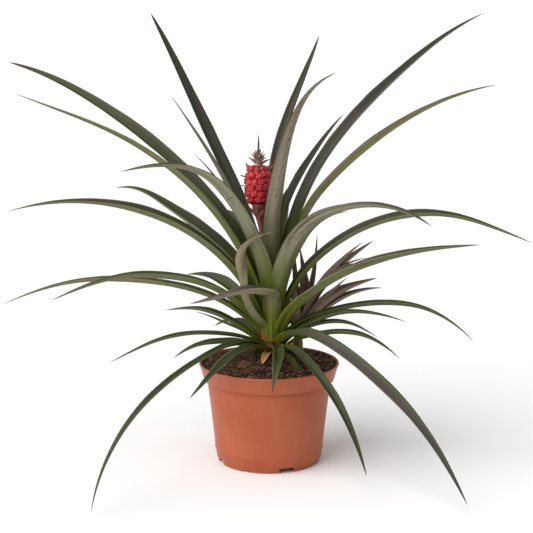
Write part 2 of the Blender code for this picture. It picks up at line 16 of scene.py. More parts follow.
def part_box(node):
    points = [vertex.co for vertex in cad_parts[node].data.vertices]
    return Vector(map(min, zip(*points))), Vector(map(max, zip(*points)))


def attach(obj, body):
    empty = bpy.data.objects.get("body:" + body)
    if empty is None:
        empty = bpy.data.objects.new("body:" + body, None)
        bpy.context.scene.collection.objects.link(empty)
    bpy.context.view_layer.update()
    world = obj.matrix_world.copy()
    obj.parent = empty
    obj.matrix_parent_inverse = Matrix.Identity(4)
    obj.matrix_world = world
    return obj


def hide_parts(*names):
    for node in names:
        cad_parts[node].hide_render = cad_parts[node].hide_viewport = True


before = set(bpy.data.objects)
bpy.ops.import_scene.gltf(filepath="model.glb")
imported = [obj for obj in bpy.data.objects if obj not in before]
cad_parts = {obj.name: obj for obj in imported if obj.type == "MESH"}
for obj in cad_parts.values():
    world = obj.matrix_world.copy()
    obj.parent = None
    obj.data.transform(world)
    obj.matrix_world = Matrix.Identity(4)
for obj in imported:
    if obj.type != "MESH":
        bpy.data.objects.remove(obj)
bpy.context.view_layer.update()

MM = 0.001


def middle_and_size(node):
    """A CAD node's middle across, its top and its half width, in millimetres."""
    low, high = (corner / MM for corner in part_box(node))
    return (low.x + high.x) / 2, (low.y + high.y) / 2, high.z, (high.x - low.x) / 2


# ---- The plant's measures, from the frame, and those that its boxes don't give

_, _, POT_TOP, RIM_RADIUS = middle_and_size("pot")
STEM_X, STEM_Y, STEM_TOP, STEM_RADIUS = middle_and_size("stem")
STEM_KNEE = 95.0  # the stem tapers from here up
STEM_TOP_RADIUS = 4.75
LEAF_SEAT = 0.15  # from the stem's side to a leaf's rib
PUP_X, PUP_Y, PUP_RADIUS = 25.0, 21.0, 4.6
NEXT_LEAF = 137.5  # turn from one small leaf to the next, round a shoot

# Stalk, fruit and crown
STALK_RADIUS, STALK_SWELL = 2.3, 3.4  # the swell is what the stalk gains under the fruit
FRUIT_X, FRUIT_Y = -9.3, 6.0
FRUIT_FOOT, FRUIT_TOP = 222.0, 256.5
FRUIT_RADIUS, FRUIT_END_RADIUS = 11.6, 3.6
FRUIT_CORE_RADIUS = 4.8  # the least that the core under the fruitlets has
FRUITLETS, FRUIT_TURN = 54, 9.45  # they climb in one spiral, so many to a turn
LOBE_SINK = 2.5  # from the fruit's outline in to the middle of a lobe
SCALES, BRACTS, TOP_BRACTS, CROWN_LEAVES = 9, 10, 11, 20
CROWN_FOOT, CROWN_TOP = 252.6, 280.0

# Each lobe of a fruitlet: its turn and distance from the middle, half its width, height and depth
LOBES = ((math.pi, 1.1, 3.7, 2.3, 3.1), (-1.0, 1.35, 2.7, 2.7, 2.6), (1.0, 1.35, 2.7, 2.7, 3.0))

# Each dried flower stub: bearing, level, distance out, pitch, length, span
STUBS = (
    (186, 245, 9.5, 8, 6.4, 2.3), (176, 237, 10.0, 2, 5.6, 1.5), (190, 251, 8.0, 62, 7.0, 2.7),
    (338, 251, 8.5, 58, 8.0, 3.2), (20, 250, 8.5, 30, 7.0, 2.2), (75, 240, 10.0, 10, 6.0, 1.8),
    (120, 247, 9.0, 30, 6.0, 2.0), (300, 238, 10.4, 20, 4.5, 1.8),
)

# Pot: a tapered body on a foot ring, and a collar
POT_SIDES, POT_WALL = 144, 1.6
POT_FLOOR, POT_FLOOR_TOP = 4.6, 6.6
FOOT_INSIDE, FOOT_OUTSIDE = 38.5, 43.8
BODY_FOOT, BODY_FOOT_RADIUS = 4.0, 45.3
BODY_TOP, BODY_TOP_RADIUS = 71.6, 53.0
NOTCHES, FIRST_NOTCH = 8, 290.0  # round the foot ring, every other one a tall one
TALL_NOTCH, LOW_NOTCH = (13.5, 4.4), (10.0, 1.0)  # width and height
NOTCH_RADIUS, NOTCH_DEPTH = 41.2, 11.0
DRAINS, DRAIN_RING, DRAIN_RADIUS = 6, 27.0, 4.0

# Soil
SOIL_SIDES, SOIL_RINGS, SOIL_EDGE = 220, 72, 57.2
SOIL_LEVEL, SOIL_HEAP = 84.0, 11.2
SOIL_SIDE = ((0.5, 6.9), (43.1, 6.9), (50.8, 68.9), (53.6, 72.4), (SOIL_EDGE + 0.2, 82.3))
LUMPS = ((1.2, 7.0, 1.0), (0.95, 2.6, 5.0), (0.65, 1.1, 9.0))  # size, breadth, layer of noise
PUP_CLEAR = 6.0  # bare soil round the offset
FIBRES, TUFT_FIBRES, FIBRE_SIDES, FIBRE_STEPS = 420, 200, 6, 7
TUFT_X, TUFT_Y = (-20.0, 7.0), (-24.0, 9.0)  # middle and spread of a tuft of roots
CRUMBS = 900

# Stage: places are in metres
KEY_FROM, KEY_ANGLE, KEY_STRENGTH = (-0.66, -0.46, 0.72), 66.0, 2.90
SKY_STRENGTH = 0.52
FLOOR_HALF, FLOOR_DROP = 60.0, 0.0002
CAMERA_PLACE, CAMERA_DIP, CAMERA_LENS = (-0.0022, -1.234, 0.401), 10.65, 100.0

# Leaf blades
STATION = 1.9  # between the stations along a blade
RIB_THICKNESS = 1.15
EDGE_THICKNESS = 0.22
TOOTH = 0.28  # how far a marginal tooth stands out
FOOT_FOLD, BLADE_FOLD, TIP_FOLD = 34.0, 38.0, 28.0  # half angle of the channel
TAPER = 0.43  # share of the length over which a blade narrows
TIP_SPAN = 0.35
ROLL_ONSET = 0.55  # share of the length over which a blade comes to its full roll
ROUNDING = 1.45  # of the channel's bottom: 1 is a sharp V
RIPPLE, RIPPLE_HEIGHT = 16.0, 0.05  # of a blade's edges: length, and height as a share of its half span
ACROSS = (-1.0, -0.88, -0.66, -0.42, -0.19, 0.0, 0.19, 0.42, 0.66, 0.88, 1.0)

# Each leaf as in the part's source, after the name of its finish: headings (0 is +X, 90 is +Y),
# height of its foot, pitches at six even stations, length, span, roll and taper exponent.
LEAVES = [
    # lowest whorl: short or drooping, over the rim of the pot
    ("fresh", (240,), 97, (31, 8, -6, -16, -20, -20), 127, 9, 0, 0.8),
    ("fresh", (227.5,), 99, (33, -6, -17, -30, -51, -76), 245, 7, 0, 0.8),
    ("fresh", (209,), 96, (36, 20, 5, 0, -16, -32), 89, 9, 0, 0.8),
    ("fresh", (199,), 101, (29, 13, 4, -9, -21, -24), 140, 6.5, 0, 0.8),
    ("fresh", (188,), 104, (12, 34, 26, 25, 22, 16), 64, 4, 0, 0.8),
    ("fresh", (161,), 98, (52, 30, 24, 10, -6, -14), 99, 9, 0, 0.8),
    ("fresh", (197,), 93, (48, 22, 6, -14, -35, -60), 55, 4, 0, 0.8),
    ("fresh", (230,), 93, (42, 24, 10, -6, -16, -20), 30, 4, 0, 0.8),
    ("dry", (254,), 94.5, (30, 4, -12, -20, -26, -30), 24, 8, 0, 0.8),
    ("fresh", (281, 268, 252), 96, (44, 8, -2, -16, -42, -60), 86, 9, 0, 0.8),
    ("fresh", (300,), 95, (13, -4, -16, -22, -16, -8), 41, 7, 0, 0.8),
    ("fresh", (299, 303, 304), 99, (25, -13, -27, -38, -52, -62), 164, 9, 0, 0.8),
    ("mauve", (303, 315, 319, 320), 101, (50, -4, -24, -33, -47, -57), 250, 14, 0, 0.8),
    ("fresh", (345,), 96, (52, 18, 10, -6, -28, -42), 111, 8, 0, 0.8),
    ("fresh", (8,), 99, (53, 28, 12, -6, -28, -36), 93, 7, 0, 0.8),
    ("fresh", (350,), 102, (54, 28, 22, 3, -10, -20), 115, 7, 0, 0.8),
    ("fresh", (0,), 108, (42, 20, 8, -6, -29, -49), 181, 9, 0, 0.8),
    ("fresh", (66,), 98, (50, 20, 8, -8, -20, -30), 108, 9, 0, 0.8),
    ("fresh", (92,), 101, (52, 30, 14, -4, -18, -30), 118, 10, 0, 0.8),
    ("fresh", (124,), 97, (48, 18, 6, -6, -20, -30), 90, 9, 0, 0.8),
    # middle whorl: arching
    ("sage", (174,), 106, (57, 26, 8, -1, -15, -27), 246, 10, 0, 0.8),
    ("sage", (192,), 110, (61, 39, 16, 2, -15, -25), 202, 12, 0, 0.8),
    ("sage", (135,), 112, (37, 36, 31, 14, -2, -12), 112, 12, -20, 0.8),
    ("folded", (266, 250, 200, 185), 104, (81, 77, 40, 5, -19, -22), 124, 15, 0, 0.8),
    ("tan", (227.5, 212, 216, 285, 332, 352), 115.5, (36, 56, 82, 67, 32, 6), 122, 9.5, 0, 0.8),
    ("sage", (184,), 114, (78, 53, 33, 15, -1, -17), 266, 15, -8, 1.0),
    ("sage", (156,), 126, (72, 52, 37, 29, 25, -14), 187, 15, -8, 0.8),
    ("sage", (316, 335, 350, 355), 104, (80, 44, 32, 18, 9, 3), 208, 15, 0, 0.8),
    ("sage", (5,), 120, (81, 48, 26, 4, -18, -24), 264, 13, 8, 0.8),
    ("sage", (85,), 116, (74, 50, 34, 16, 0, -14), 165, 12, 0, 0.8),
    ("sage", (112,), 119, (74, 56, 42, 26, 8, -10), 160, 12, 0, 0.8),
    # upper whorl: steep
    ("sage", (194,), 128, (76, 62, 48, 34, 23, 21), 293, 11, 0, 0.8),
    ("sage", (161,), 132, (76, 57, 42, 34, 26, 13), 328, 14, -25, 0.6),
    ("dark", (166,), 147, (74, 70, 67, 60, 51, 42), 133, 5, 0, 0.8),
    ("dark", (192,), 143, (73, 72, 71, 61, 57, 55), 190, 8, 0, 0.8),
    ("dark", (137,), 138, (75, 66, 56, 56, 56, 52), 281, 14, 0, 0.6),
    ("pale", (249, 226, 205, 195), 124, (86, 67, 59, 46, 7, -15), 222, 17, 0, 0.8),
    ("pale", (291, 302, 320, 330), 118, (87, 65, 44, 21, -1, -31), 235, 16, 0, 0.8),
    ("sage", (331,), 125.5, (81, 77, 67, 56, 33, 6), 123, 8, 0, 0.8),
    ("olive", (356,), 132, (81, 75, 50, 38, 26, 10), 281, 13, 8, 0.8),
    ("dark", (40, 35, 35, 35), 142, (78, 67, 47, 36, 30, 18), 348, 14, 0, 0.8),
    ("dark", (79, 52, 48, 50), 145, (84, 78, 59, 46, 40, 30), 184, 9, 0, 0.8),
    ("rosy", (262, 280, 305, 325, 335), 136, (87, 82, 72, 73, 61, 20), 221, 15, 0, 0.8),
    ("dark", (128.5, 48, 56, 72), 144, (77, 77, 78, 60, 47, 38), 247, 10, 0, 0.8),
    ("sage", (80,), 128, (80, 68, 52, 36, 16, -6), 155, 11, 0, 0.8),
    ("dark", (335, 360, 380, 385), 148, (86, 88, 87, 82, 68, 50), 106, 4, 0, 0.8),
]

# Leaves with a clasping foot broader than the blade, and the pitches, at even stations, of the
# one that stands up and then creases over
BROAD_FEET = {24: 1.35, 25: 1.2, 28: 1.2, 37: 1.15, 38: 1.2, 43: 1.1}
CREASED = {24: (84, 84, 82, 80, 20, 14, 0, -12, -12, -12, -12)}

# The offset's leaves: headings, pitches, length, span. Their feet are in its own short stem, and
# the blades are dressed a little broader than the solids'.
PUP_BROADER = 1.2
PUP_LEAVES = [
    ((170,), (88, 88, 87, 86, 86, 86), 92, 8),
    ((60, 30, 20), (72, 64, 70, 80, 86, 88), 93, 6),
    ((352,), (82, 70, 62, 52, 44, 38), 106, 10),
    ((12,), (80, 66, 56, 46, 36, 32), 112, 13),
    ((2,), (82, 72, 62, 46, 26, 8), 102, 6),
    ((22,), (80, 69, 55, 34, 8, -12), 111, 6),
    ((20, 40, 120, 150), (80, 80, 80, 78, 80, 82), 84, 8),
    ((345,), (76, 66, 56, 48, 44, 40), 76, 9),
    ((8,), (72, 60, 46, 30, 18, 12), 95, 14),
    ((15,), (66, 52, 38, 24, 10, -4), 96, 9),
    ((240,), (80, 78, 80, 84, 86, 88), 56, 9),
    ((130,), (78, 70, 58, 44, 30, 16), 80, 8),
    ((60,), (74, 62, 48, 32, 16, 2), 88, 8),
]


# ---- Paint


class Paint:
    """A Principled material built node by node. A socket takes a number, a colour or a link."""

    def __init__(self, name, constants=None):
        self.material = bpy.data.materials.new(name)
        self.material.use_nodes = True
        self.tree = self.material.node_tree
        self.shader = self.tree.nodes["Principled BSDF"]
        for socket, value in (constants or {}).items():
            self.shader.inputs[socket].default_value = value

    def feed(self, socket, value):
        """Give a socket a link, a colour or a number."""
        if isinstance(value, bpy.types.NodeSocket):
            self.tree.links.new(value, socket)
        elif isinstance(value, tuple) and len(value) == 3 and socket.type == "RGBA":
            socket.default_value = (*value, 1.0)
        else:
            socket.default_value = value

    def node(self, kind, settings=None, sockets=None):
        """A new node with its settings and its inputs."""
        made = self.tree.nodes.new(kind)
        for key, value in (settings or {}).items():
            setattr(made, key, value)
        for key, value in (sockets or {}).items():
            self.feed(made.inputs[key], value)
        return made

    def measure(self, name):
        """One of the measures that Skin keeps at every point."""
        return self.node("ShaderNodeAttribute", {"attribute_name": name}).outputs["Fac"]

    def place(self):
        """Position on the piece, in metres."""
        return self.node("ShaderNodeTexCoord").outputs["Object"]

    def math(self, operation, a, b=0.0, c=0.0, clamp=False):
        """One step of arithmetic on numbers or links."""
        settings = {"operation": operation, "use_clamp": clamp}
        return self.node("ShaderNodeMath", settings, {0: a, 1: b, 2: c}).outputs[0]

    def vector(self, x, y, z):
        """Three numbers or links as one vector."""
        return self.node("ShaderNodeCombineXYZ", None, {0: x, 1: y, 2: z}).outputs[0]

    def stretch(self, vector, x, y, z):
        """A vector scaled along each axis."""
        settings = {"operation": "MULTIPLY"}
        return self.node("ShaderNodeVectorMath", settings, {0: vector, 1: (x, y, z)}).outputs[0]

    def noise(self, vector, scale=1.0, detail=2.0, rough=0.5):
        """A cloudy pattern from about 0.3 to 0.7, round a middle of 0.5."""
        sockets = {"Vector": vector, "Scale": scale, "Detail": detail, "Roughness": rough}
        return self.node("ShaderNodeTexNoise", None, sockets).outputs["Fac"]

    def cells(self, vector, scale):
        """Distance to the middle of the nearest of some scattered cells."""
        sockets = {"Vector": vector, "Scale": scale}
        return self.node("ShaderNodeTexVoronoi", None, sockets).outputs["Distance"]

    def rise(self, value, low, high, least=0.0, most=1.0):
        """A smooth step from least at low to most at high."""
        settings = {"interpolation_type": "SMOOTHSTEP"}
        sockets = {"Value": value, "From Min": low, "From Max": high, "To Min": least, "To Max": most}
        return self.node("ShaderNodeMapRange", settings, sockets).outputs["Result"]

    def mix(self, share, a, b):
        """A share of b in a."""
        return self.node("ShaderNodeMix", {"data_type": "RGBA"}, {0: share, 6: a, 7: b}).outputs[2]

    def lay(self, body, colour, mask, low, high, least=0.0, most=1.0):
        """A colour over a body, as far as a mask rises from low to high."""
        return self.mix(self.rise(mask, low, high, least, most), body, colour)

    def finish(self, colour, roughness, height=None, strength=0.3, depth=0.0003):
        """Link the colour, the roughness and a bump of that height, and return the material."""
        self.feed(self.shader.inputs["Base Color"], colour)
        self.feed(self.shader.inputs["Roughness"], roughness)
        if height is not None:
            sockets = {"Strength": strength, "Distance": depth, "Height": height}
            bump = self.node("ShaderNodeBump", None, sockets)
            self.feed(self.shader.inputs["Normal"], bump.outputs["Normal"])
        return self.material


ORANGE_FOOT = (0.22, 0.062, 0.008)
YELLOW_GREEN = (0.135, 0.160, 0.003)
# Painted shade: the feet's yellow-green as it looks in shade, laid over it in streaks.
SHADED_YELLOW_GREEN = (0.045, 0.064, 0.002)
TIP_BROWN = (0.060, 0.034, 0.022)
BLOTCH = (0.070, 0.026, 0.010)

# Each blade finish: upper side's two colours, underside's two colours, margin's colour, how
# far up from its foot a blade stays yellow-green, in millimetres, how blotched it is, and how
# far across its margin begins.
FINISHES = {
    "fresh": (
        (0.025, 0.036, 0.010), (0.046, 0.050, 0.018), (0.080, 0.100, 0.032), (0.130, 0.142, 0.062),
        (0.190, 0.225, 0.085), 34, 0.10, 0.88,
    ),
    "sage": (
        (0.034, 0.042, 0.015), (0.054, 0.046, 0.026), (0.120, 0.135, 0.048), (0.190, 0.190, 0.090),
        (0.245, 0.250, 0.130), 76, 0.35, 0.88,
    ),
    "dark": (
        (0.024, 0.026, 0.012), (0.040, 0.031, 0.020), (0.105, 0.105, 0.070), (0.165, 0.158, 0.110),
        (0.070, 0.056, 0.035), 88, 0.15, 0.90,
    ),
    "pale": (
        (0.046, 0.038, 0.034), (0.036, 0.032, 0.026), (0.165, 0.160, 0.095), (0.280, 0.262, 0.185),
        (0.140, 0.135, 0.070), 78, 0.45, 0.90,
    ),
    "olive": (
        (0.070, 0.070, 0.018), (0.115, 0.108, 0.034), (0.165, 0.160, 0.060), (0.240, 0.225, 0.105),
        (0.120, 0.070, 0.040), 84, 0.35, 0.88,
    ),
    "tan": (
        (0.110, 0.095, 0.050), (0.160, 0.140, 0.080), (0.200, 0.175, 0.095), (0.300, 0.265, 0.165),
        (0.240, 0.220, 0.120), 18, 0.90, 0.88,
    ),
    "mauve": (
        (0.060, 0.044, 0.046), (0.078, 0.060, 0.056), (0.110, 0.120, 0.045), (0.170, 0.165, 0.090),
        (0.060, 0.105, 0.020), 30, 0.20, 0.50,
    ),
    "folded": (
        (0.074, 0.058, 0.060), (0.090, 0.074, 0.072), (0.270, 0.230, 0.140), (0.370, 0.320, 0.215),
        (0.180, 0.160, 0.090), 64, 0.45, 0.90,
    ),
    "rosy": (
        (0.044, 0.033, 0.022), (0.080, 0.064, 0.028), (0.190, 0.160, 0.105), (0.265, 0.230, 0.170),
        (0.056, 0.040, 0.026), 84, 0.55, 0.90,
    ),
    "offset": (
        (0.105, 0.068, 0.046), (0.130, 0.105, 0.046), (0.190, 0.135, 0.095), (0.260, 0.200, 0.140),
        (0.290, 0.225, 0.170), 12, 0.45, 0.86,
    ),
}


def toned(colour, factor):
    """A colour made lighter or darker."""
    return tuple(part * factor for part in colour)


def blade_patterns(paint):
    """The patterns that a leaf's colours are laid by. Its seed sets them apart from other leaves'."""
    across, reach = paint.measure("across"), paint.measure("reach")
    place = paint.vector(across, reach, paint.measure("seed"))
    patches = paint.noise(paint.stretch(place, 1.2, 0.030, 11.0), detail=3.0)
    return {
        "veins": paint.noise(paint.stretch(place, 17.0, 0.012, 41.0)),
        "streaks": paint.noise(paint.stretch(place, 4.2, 0.010, 23.0), detail=3.0),
        "patches": patches,
        "scurf": paint.noise(paint.stretch(place, 7.0, 0.30, 53.0), detail=3.0),
        "bands": paint.noise(paint.stretch(place, 1.6, 0.90, 17.0), detail=1.0),
        "specks": paint.cells(paint.stretch(place, 2.4, 0.16, 5.0), 1.0),
        "edge": paint.math("ABSOLUTE", across),
        "wander": paint.math("MULTIPLY_ADD", patches, 34.0, reach),
    }


def upper_side(paint, on, colour, blush):
    """The dark upper side, with a paler band along its channel that is partly its own pale midline and partly
    a painted sheen, and streaked with scurf.
    """
    body = paint.lay(colour, blush, on["patches"], 0.40, 0.62)
    # Painted sheen: the middle of the channel is lightened, partly for the leaf's own pale midline and partly
    # for the sheen that lies in it.
    body = paint.lay(body, toned(colour, 2.0), on["edge"], 0.05, 0.60, 0.45, 0.0)
    body = paint.lay(body, toned(colour, 2.5), on["streaks"], 0.46, 0.72, 0.0, 0.60)
    return paint.lay(body, toned(colour, 3.2), on["scurf"], 0.52, 0.78, 0.0, 0.30)


def under_side(paint, on, colour, blush):
    """The scurfy underside, lined by its veins and faintly banded across."""
    body = paint.lay(colour, blush, on["streaks"], 0.36, 0.64)
    body = paint.lay(body, toned(colour, 1.45), on["veins"], 0.50, 0.70, 0.0, 0.60)
    body = paint.lay(body, toned(colour, 0.50), on["veins"], 0.30, 0.46, 0.60, 0.0)
    body = paint.lay(body, toned(colour, 0.60), on["scurf"], 0.55, 0.75, 0.0, 0.40)
    return paint.lay(body, toned(colour, 1.5), on["bands"], 0.54, 0.70, 0.0, 0.20)


def young_foot(paint, on, body, young_reach):
    """A blade's foot stays yellow-green, streaked with painted shade, and is orange-brown where it leaves the
    stem.
    """
    young = paint.rise(on["wander"], 0.45 * young_reach, young_reach + 28.0, 1.0, 0.0)
    # Painted shade: streaks of the yellow-green as it looks in shade.
    green = paint.lay(YELLOW_GREEN, SHADED_YELLOW_GREEN, on["streaks"], 0.38, 0.64)
    green = paint.lay(green, YELLOW_GREEN, on["edge"], 0.70, 0.98, 0.0, 0.45)
    body = paint.mix(young, body, green)
    return paint.lay(body, ORANGE_FOOT, on["wander"], 12.0, 26.0, 0.9, 0.0)


def blemishes(paint, on, body, blotches):
    """Brown blotches, small dark specks and a dry tip."""
    scurfy, patchy = paint.rise(on["scurf"], 0.48, 0.62), paint.rise(on["patches"], 0.50, 0.64)
    stain = paint.math("MULTIPLY", scurfy, patchy)
    body = paint.mix(paint.math("MULTIPLY", stain, blotches), body, BLOTCH)
    speck, near = paint.rise(on["specks"], 0.06, 0.13, 1.0, 0.0), paint.rise(on["patches"], 0.46, 0.58)
    spotted = paint.math("MULTIPLY", speck, near)
    body = paint.mix(paint.math("MULTIPLY", spotted, 0.35), body, TIP_BROWN)
    return paint.lay(body, TIP_BROWN, paint.measure("share"), 0.92, 1.0, 0.0, 0.85)


def leaf_finish(name):
    """A waxy blade: veined, dark above and scurfy below, yellow-green towards its foot."""
    upper, upper_blush, under, under_blush, margin, young_reach, blotches, margin_start = FINISHES[name]
    paint = Paint("leaf_" + name, {"Specular IOR Level": 0.30})
    on, below = blade_patterns(paint), paint.measure("below")
    top, bottom = upper_side(paint, on, upper, upper_blush), under_side(paint, on, under, under_blush)
    body = paint.mix(below, top, bottom)
    body = paint.lay(body, toned(upper, 0.45), on["veins"], 0.30, 0.46, 0.40, 0.0)
    body = paint.lay(body, margin, on["edge"], margin_start, 0.98, 0.0, 0.85)
    body = young_foot(paint, on, body, young_reach)
    body = blemishes(paint, on, body, blotches)
    rough = paint.math("MULTIPLY_ADD", on["streaks"], 0.16, paint.rise(below, 0.0, 1.0, 0.42, 0.60))
    height = paint.math("MULTIPLY_ADD", on["bands"], 0.35, on["veins"])
    return paint.finish(body, rough, height, 0.5, 0.0003)


def dry_leaf_finish():
    """A withered blade: papery orange-brown with dark veins."""
    paint = Paint("leaf_dry")
    place = paint.vector(paint.measure("across"), paint.measure("reach"), 1.0)
    veins = paint.noise(paint.stretch(place, 9.0, 0.05, 3.0))
    patches = paint.noise(paint.stretch(place, 1.0, 0.12, 9.0), detail=3.0)
    colour = paint.lay((0.72, 0.30, 0.095), (0.82, 0.46, 0.22), patches, 0.35, 0.65)
    colour = paint.lay(colour, (0.20, 0.085, 0.03), veins, 0.52, 0.7, 0.0, 0.7)
    return paint.finish(colour, paint.rise(veins, 0.3, 0.7, 0.6, 0.8), veins, 0.6, 0.0004)


def pot_finish():
    """Terracotta-coloured moulded plastic with a faint bloom, scuffs and a fine skin."""
    paint = Paint("pot_plastic", {"Specular IOR Level": 0.42})
    place = paint.place()
    clouds = paint.noise(place, 26.0, 4.0, 0.55)
    drips = paint.noise(paint.stretch(place, 150.0, 150.0, 9.0), detail=3.0)
    skin = paint.noise(place, 2600.0)
    dust = paint.noise(place, 300.0, 4.0, 0.7)
    colour = paint.lay((0.372, 0.076, 0.023), (0.410, 0.092, 0.031), clouds, 0.36, 0.66)
    colour = paint.lay(colour, (0.445, 0.130, 0.062), drips, 0.50, 0.78, 0.0, 0.28)
    colour = paint.lay(colour, (0.52, 0.25, 0.165), dust, 0.66, 0.76, 0.0, 0.30)
    rough = paint.math("MULTIPLY_ADD", clouds, 0.16, paint.rise(dust, 0.5, 0.8, 0.36, 0.50))
    return paint.finish(colour, rough, skin, 0.12, 0.0002)


def soil_finish():
    """Dark peat, browner where it's dry."""
    paint = Paint("peat", {"Specular IOR Level": 0.25})
    place = paint.place()
    grains = paint.noise(place, 520.0, 5.0, 0.7)
    crumbs = paint.cells(place, 650.0)
    patches = paint.noise(place, 60.0, 3.0)
    colour = paint.lay((0.005, 0.0035, 0.002), (0.050, 0.028, 0.014), grains, 0.36, 0.68)
    colour = paint.lay(colour, (0.085, 0.036, 0.019), patches, 0.45, 0.7, 0.0, 0.45)
    colour = paint.lay(colour, (0.30, 0.20, 0.12), crumbs, 0.03, 0.16, 0.45, 0.0)
    height = paint.math("MULTIPLY_ADD", crumbs, -0.8, grains)
    return paint.finish(colour, paint.rise(grains, 0.3, 0.7, 0.78, 0.98), height, 0.9, 0.0012)


def litter_finish(name, dark, light):
    """Fibres, bark and crumbs: each has its own shade, and a grain."""
    paint = Paint(name, {"Specular IOR Level": 0.25})
    seed, place = paint.measure("seed"), paint.place()
    grain = paint.noise(place, 900.0, 3.0, 0.6)
    shade = paint.math("MULTIPLY_ADD", grain, 0.5, paint.math("MULTIPLY", seed, 0.75), clamp=True)
    colour = paint.mix(shade, dark, light)
    return paint.finish(colour, paint.rise(grain, 0.3, 0.7, 0.65, 0.9), grain, 0.5, 0.0003)


def stem_finish():
    """The stem's bark-brown side with the scars of old leaves."""
    paint = Paint("stem_bark")
    place = paint.place()
    grain = paint.noise(paint.stretch(place, 220.0, 220.0, 700.0), detail=3.0)
    patches = paint.noise(place, 90.0, 3.0)
    colour = paint.lay((0.10, 0.055, 0.02), (0.22, 0.20, 0.05), grain, 0.35, 0.65)
    colour = paint.lay(colour, (0.16, 0.19, 0.04), patches, 0.45, 0.7)
    return paint.finish(colour, paint.rise(grain, 0.3, 0.7, 0.55, 0.75), grain, 0.6, 0.0006)


def fruit_finish():
    """Crimson fruitlets with pink streaks and a painted highlight on each lobe's crest, painted shade down
    the lobes' sides, waxy and a little wet.
    """
    waxy = {"Coat Weight": 0.16, "Coat Roughness": 0.16, "Specular IOR Level": 0.30}
    fleshy = {"Subsurface Weight": 0.08, "Subsurface Radius": (0.003, 0.001, 0.0008)}
    paint = Paint("fruit_red", {**waxy, **fleshy})
    place = paint.place()
    crest, seed = paint.measure("share"), paint.measure("seed")
    mottle = paint.noise(place, 300.0, 3.0, 0.6)
    rays = paint.noise(paint.stretch(place, 900.0, 900.0, 420.0))
    colour = paint.lay((0.37, 0.008, 0.015), (0.54, 0.022, 0.028), mottle, 0.36, 0.64)
    colour = paint.lay(colour, (0.33, 0.008, 0.018), seed, 0.0, 1.0, 0.0, 0.45)
    # Painted highlight: pale pink where the streaks meet the lobes' outward crests.
    lit = paint.math("MULTIPLY_ADD", rays, 0.9, paint.math("MULTIPLY", crest, 0.5))
    colour = paint.lay(colour, (0.78, 0.19, 0.17), lit, 0.92, 1.12, 0.0, 0.62)
    # Painted shade: darker down the sides of each lobe, where it meets its neighbours.
    colour = paint.lay(colour, (0.20, 0.004, 0.008), crest, 0.0, 0.40, 0.70, 0.0)
    rough = paint.math("MULTIPLY_ADD", mottle, 0.20, 0.20)
    return paint.finish(colour, rough, rays, 0.22, 0.0004)


def scale_finish(name, root, middle, tip, pale):
    """Small stiff scales and bracts, from root to tip colours, with pale scurf on their ribs."""
    paint = Paint(name)
    share = paint.measure("share")
    place = paint.vector(paint.measure("across"), share, paint.measure("seed"))
    veins = paint.noise(paint.stretch(place, 7.0, 1.5, 31.0))
    scurf = paint.noise(paint.place(), 900.0, 3.0, 0.6)
    colour = paint.lay(root, middle, share, 0.05, 0.45)
    colour = paint.lay(colour, tip, share, 0.55, 0.95)
    colour = paint.lay(colour, pale, veins, 0.46, 0.68, 0.0, 0.55)
    colour = paint.lay(colour, pale, scurf, 0.55, 0.75, 0.0, 0.35)
    return paint.finish(colour, paint.rise(scurf, 0.3, 0.7, 0.45, 0.68), veins, 0.4, 0.0002)


# ---- Meshes


MEASURES = ("across", "below", "share", "reach", "seed")


class Skin:
    """A mesh in the making, with measures at every point for its finish to paint by."""

    def __init__(self):
        self.points, self.faces, self.count = [], [], 0
        self.values = {measure: [] for measure in MEASURES}

    def add(self, points, faces, **values):
        """Add one closed body, turned outwards if it's inside out."""
        points = np.asarray(points, dtype=float).reshape(-1, 3)
        volume = 0.0
        for face in faces:
            for a, b in zip(face[1:], face[2:]):
                volume += np.dot(points[face[0]], np.cross(points[a], points[b]))
        if volume < 0:
            faces = [face[::-1] for face in faces]
        self.faces += [tuple(i + self.count for i in face) for face in faces]
        self.points.append(points)
        self.count += len(points)
        for measure in MEASURES:
            value = np.broadcast_to(values.get(measure, 0.0), len(points))
            self.values[measure].append(value)

    def rings(self, rings, **values):
        """Add a body skinned over closed rings of points, with a fan over each end."""
        rings = np.asarray(rings, dtype=float)
        count, sides = rings.shape[:2]
        points = np.concatenate([rings.reshape(-1, 3), [rings[0].mean(0), rings[-1].mean(0)]])
        faces = []
        for r in range(count - 1):
            for c in range(sides):
                after = (c + 1) % sides
                here, above = r * sides, (r + 1) * sides
                faces.append((here + c, here + after, above + after, above + c))
        first, last, top = count * sides, count * sides + 1, (count - 1) * sides
        for c in range(sides):
            after = (c + 1) % sides
            faces.append((first, after, c))
            faces.append((last, top + c, top + after))
        spread = {}
        for measure, value in values.items():
            value = np.asarray(value, dtype=float)
            if value.ndim:
                value = np.broadcast_to(value, (count, sides))
                value = np.concatenate([value.reshape(-1), [value[0].mean(), value[-1].mean()]])
            spread[measure] = value
        self.add(points, faces, **spread)

    def make(self, name, finish, nodes=()):
        """The finished piece, riding on the plant, in place of its CAD nodes."""
        mesh = bpy.data.meshes.new(name)
        mesh.from_pydata((np.concatenate(self.points) * MM).tolist(), [], self.faces)
        for measure, values in self.values.items():
            attribute = mesh.attributes.new(measure, "FLOAT", "POINT")
            attribute.data.foreach_set("value", np.concatenate(values).astype(np.float32))
        mesh.shade_smooth()
        mesh.materials.append(finish)
        piece = bpy.data.objects.new(name, mesh)
        bpy.context.scene.collection.objects.link(piece)
        return placed(piece, nodes)


def placed(piece, nodes=()):
    """Say what a piece rides on, and which CAD nodes it stands for."""
    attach(piece, "root")
    if nodes:
        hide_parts(*nodes)
    return piece


def angles(sides):
    """Even angles round a circle, in radians."""
    return np.linspace(0, 2 * math.pi, sides, endpoint=False)


def turned(outline, x, y, sides):
    """Rings of points round an upright axis, one for each radius and height of an outline."""
    circle = [(math.cos(a), math.sin(a)) for a in angles(sides)]
    return [[(x + r * c, y + r * s, z) for c, s in circle] for r, z in outline]


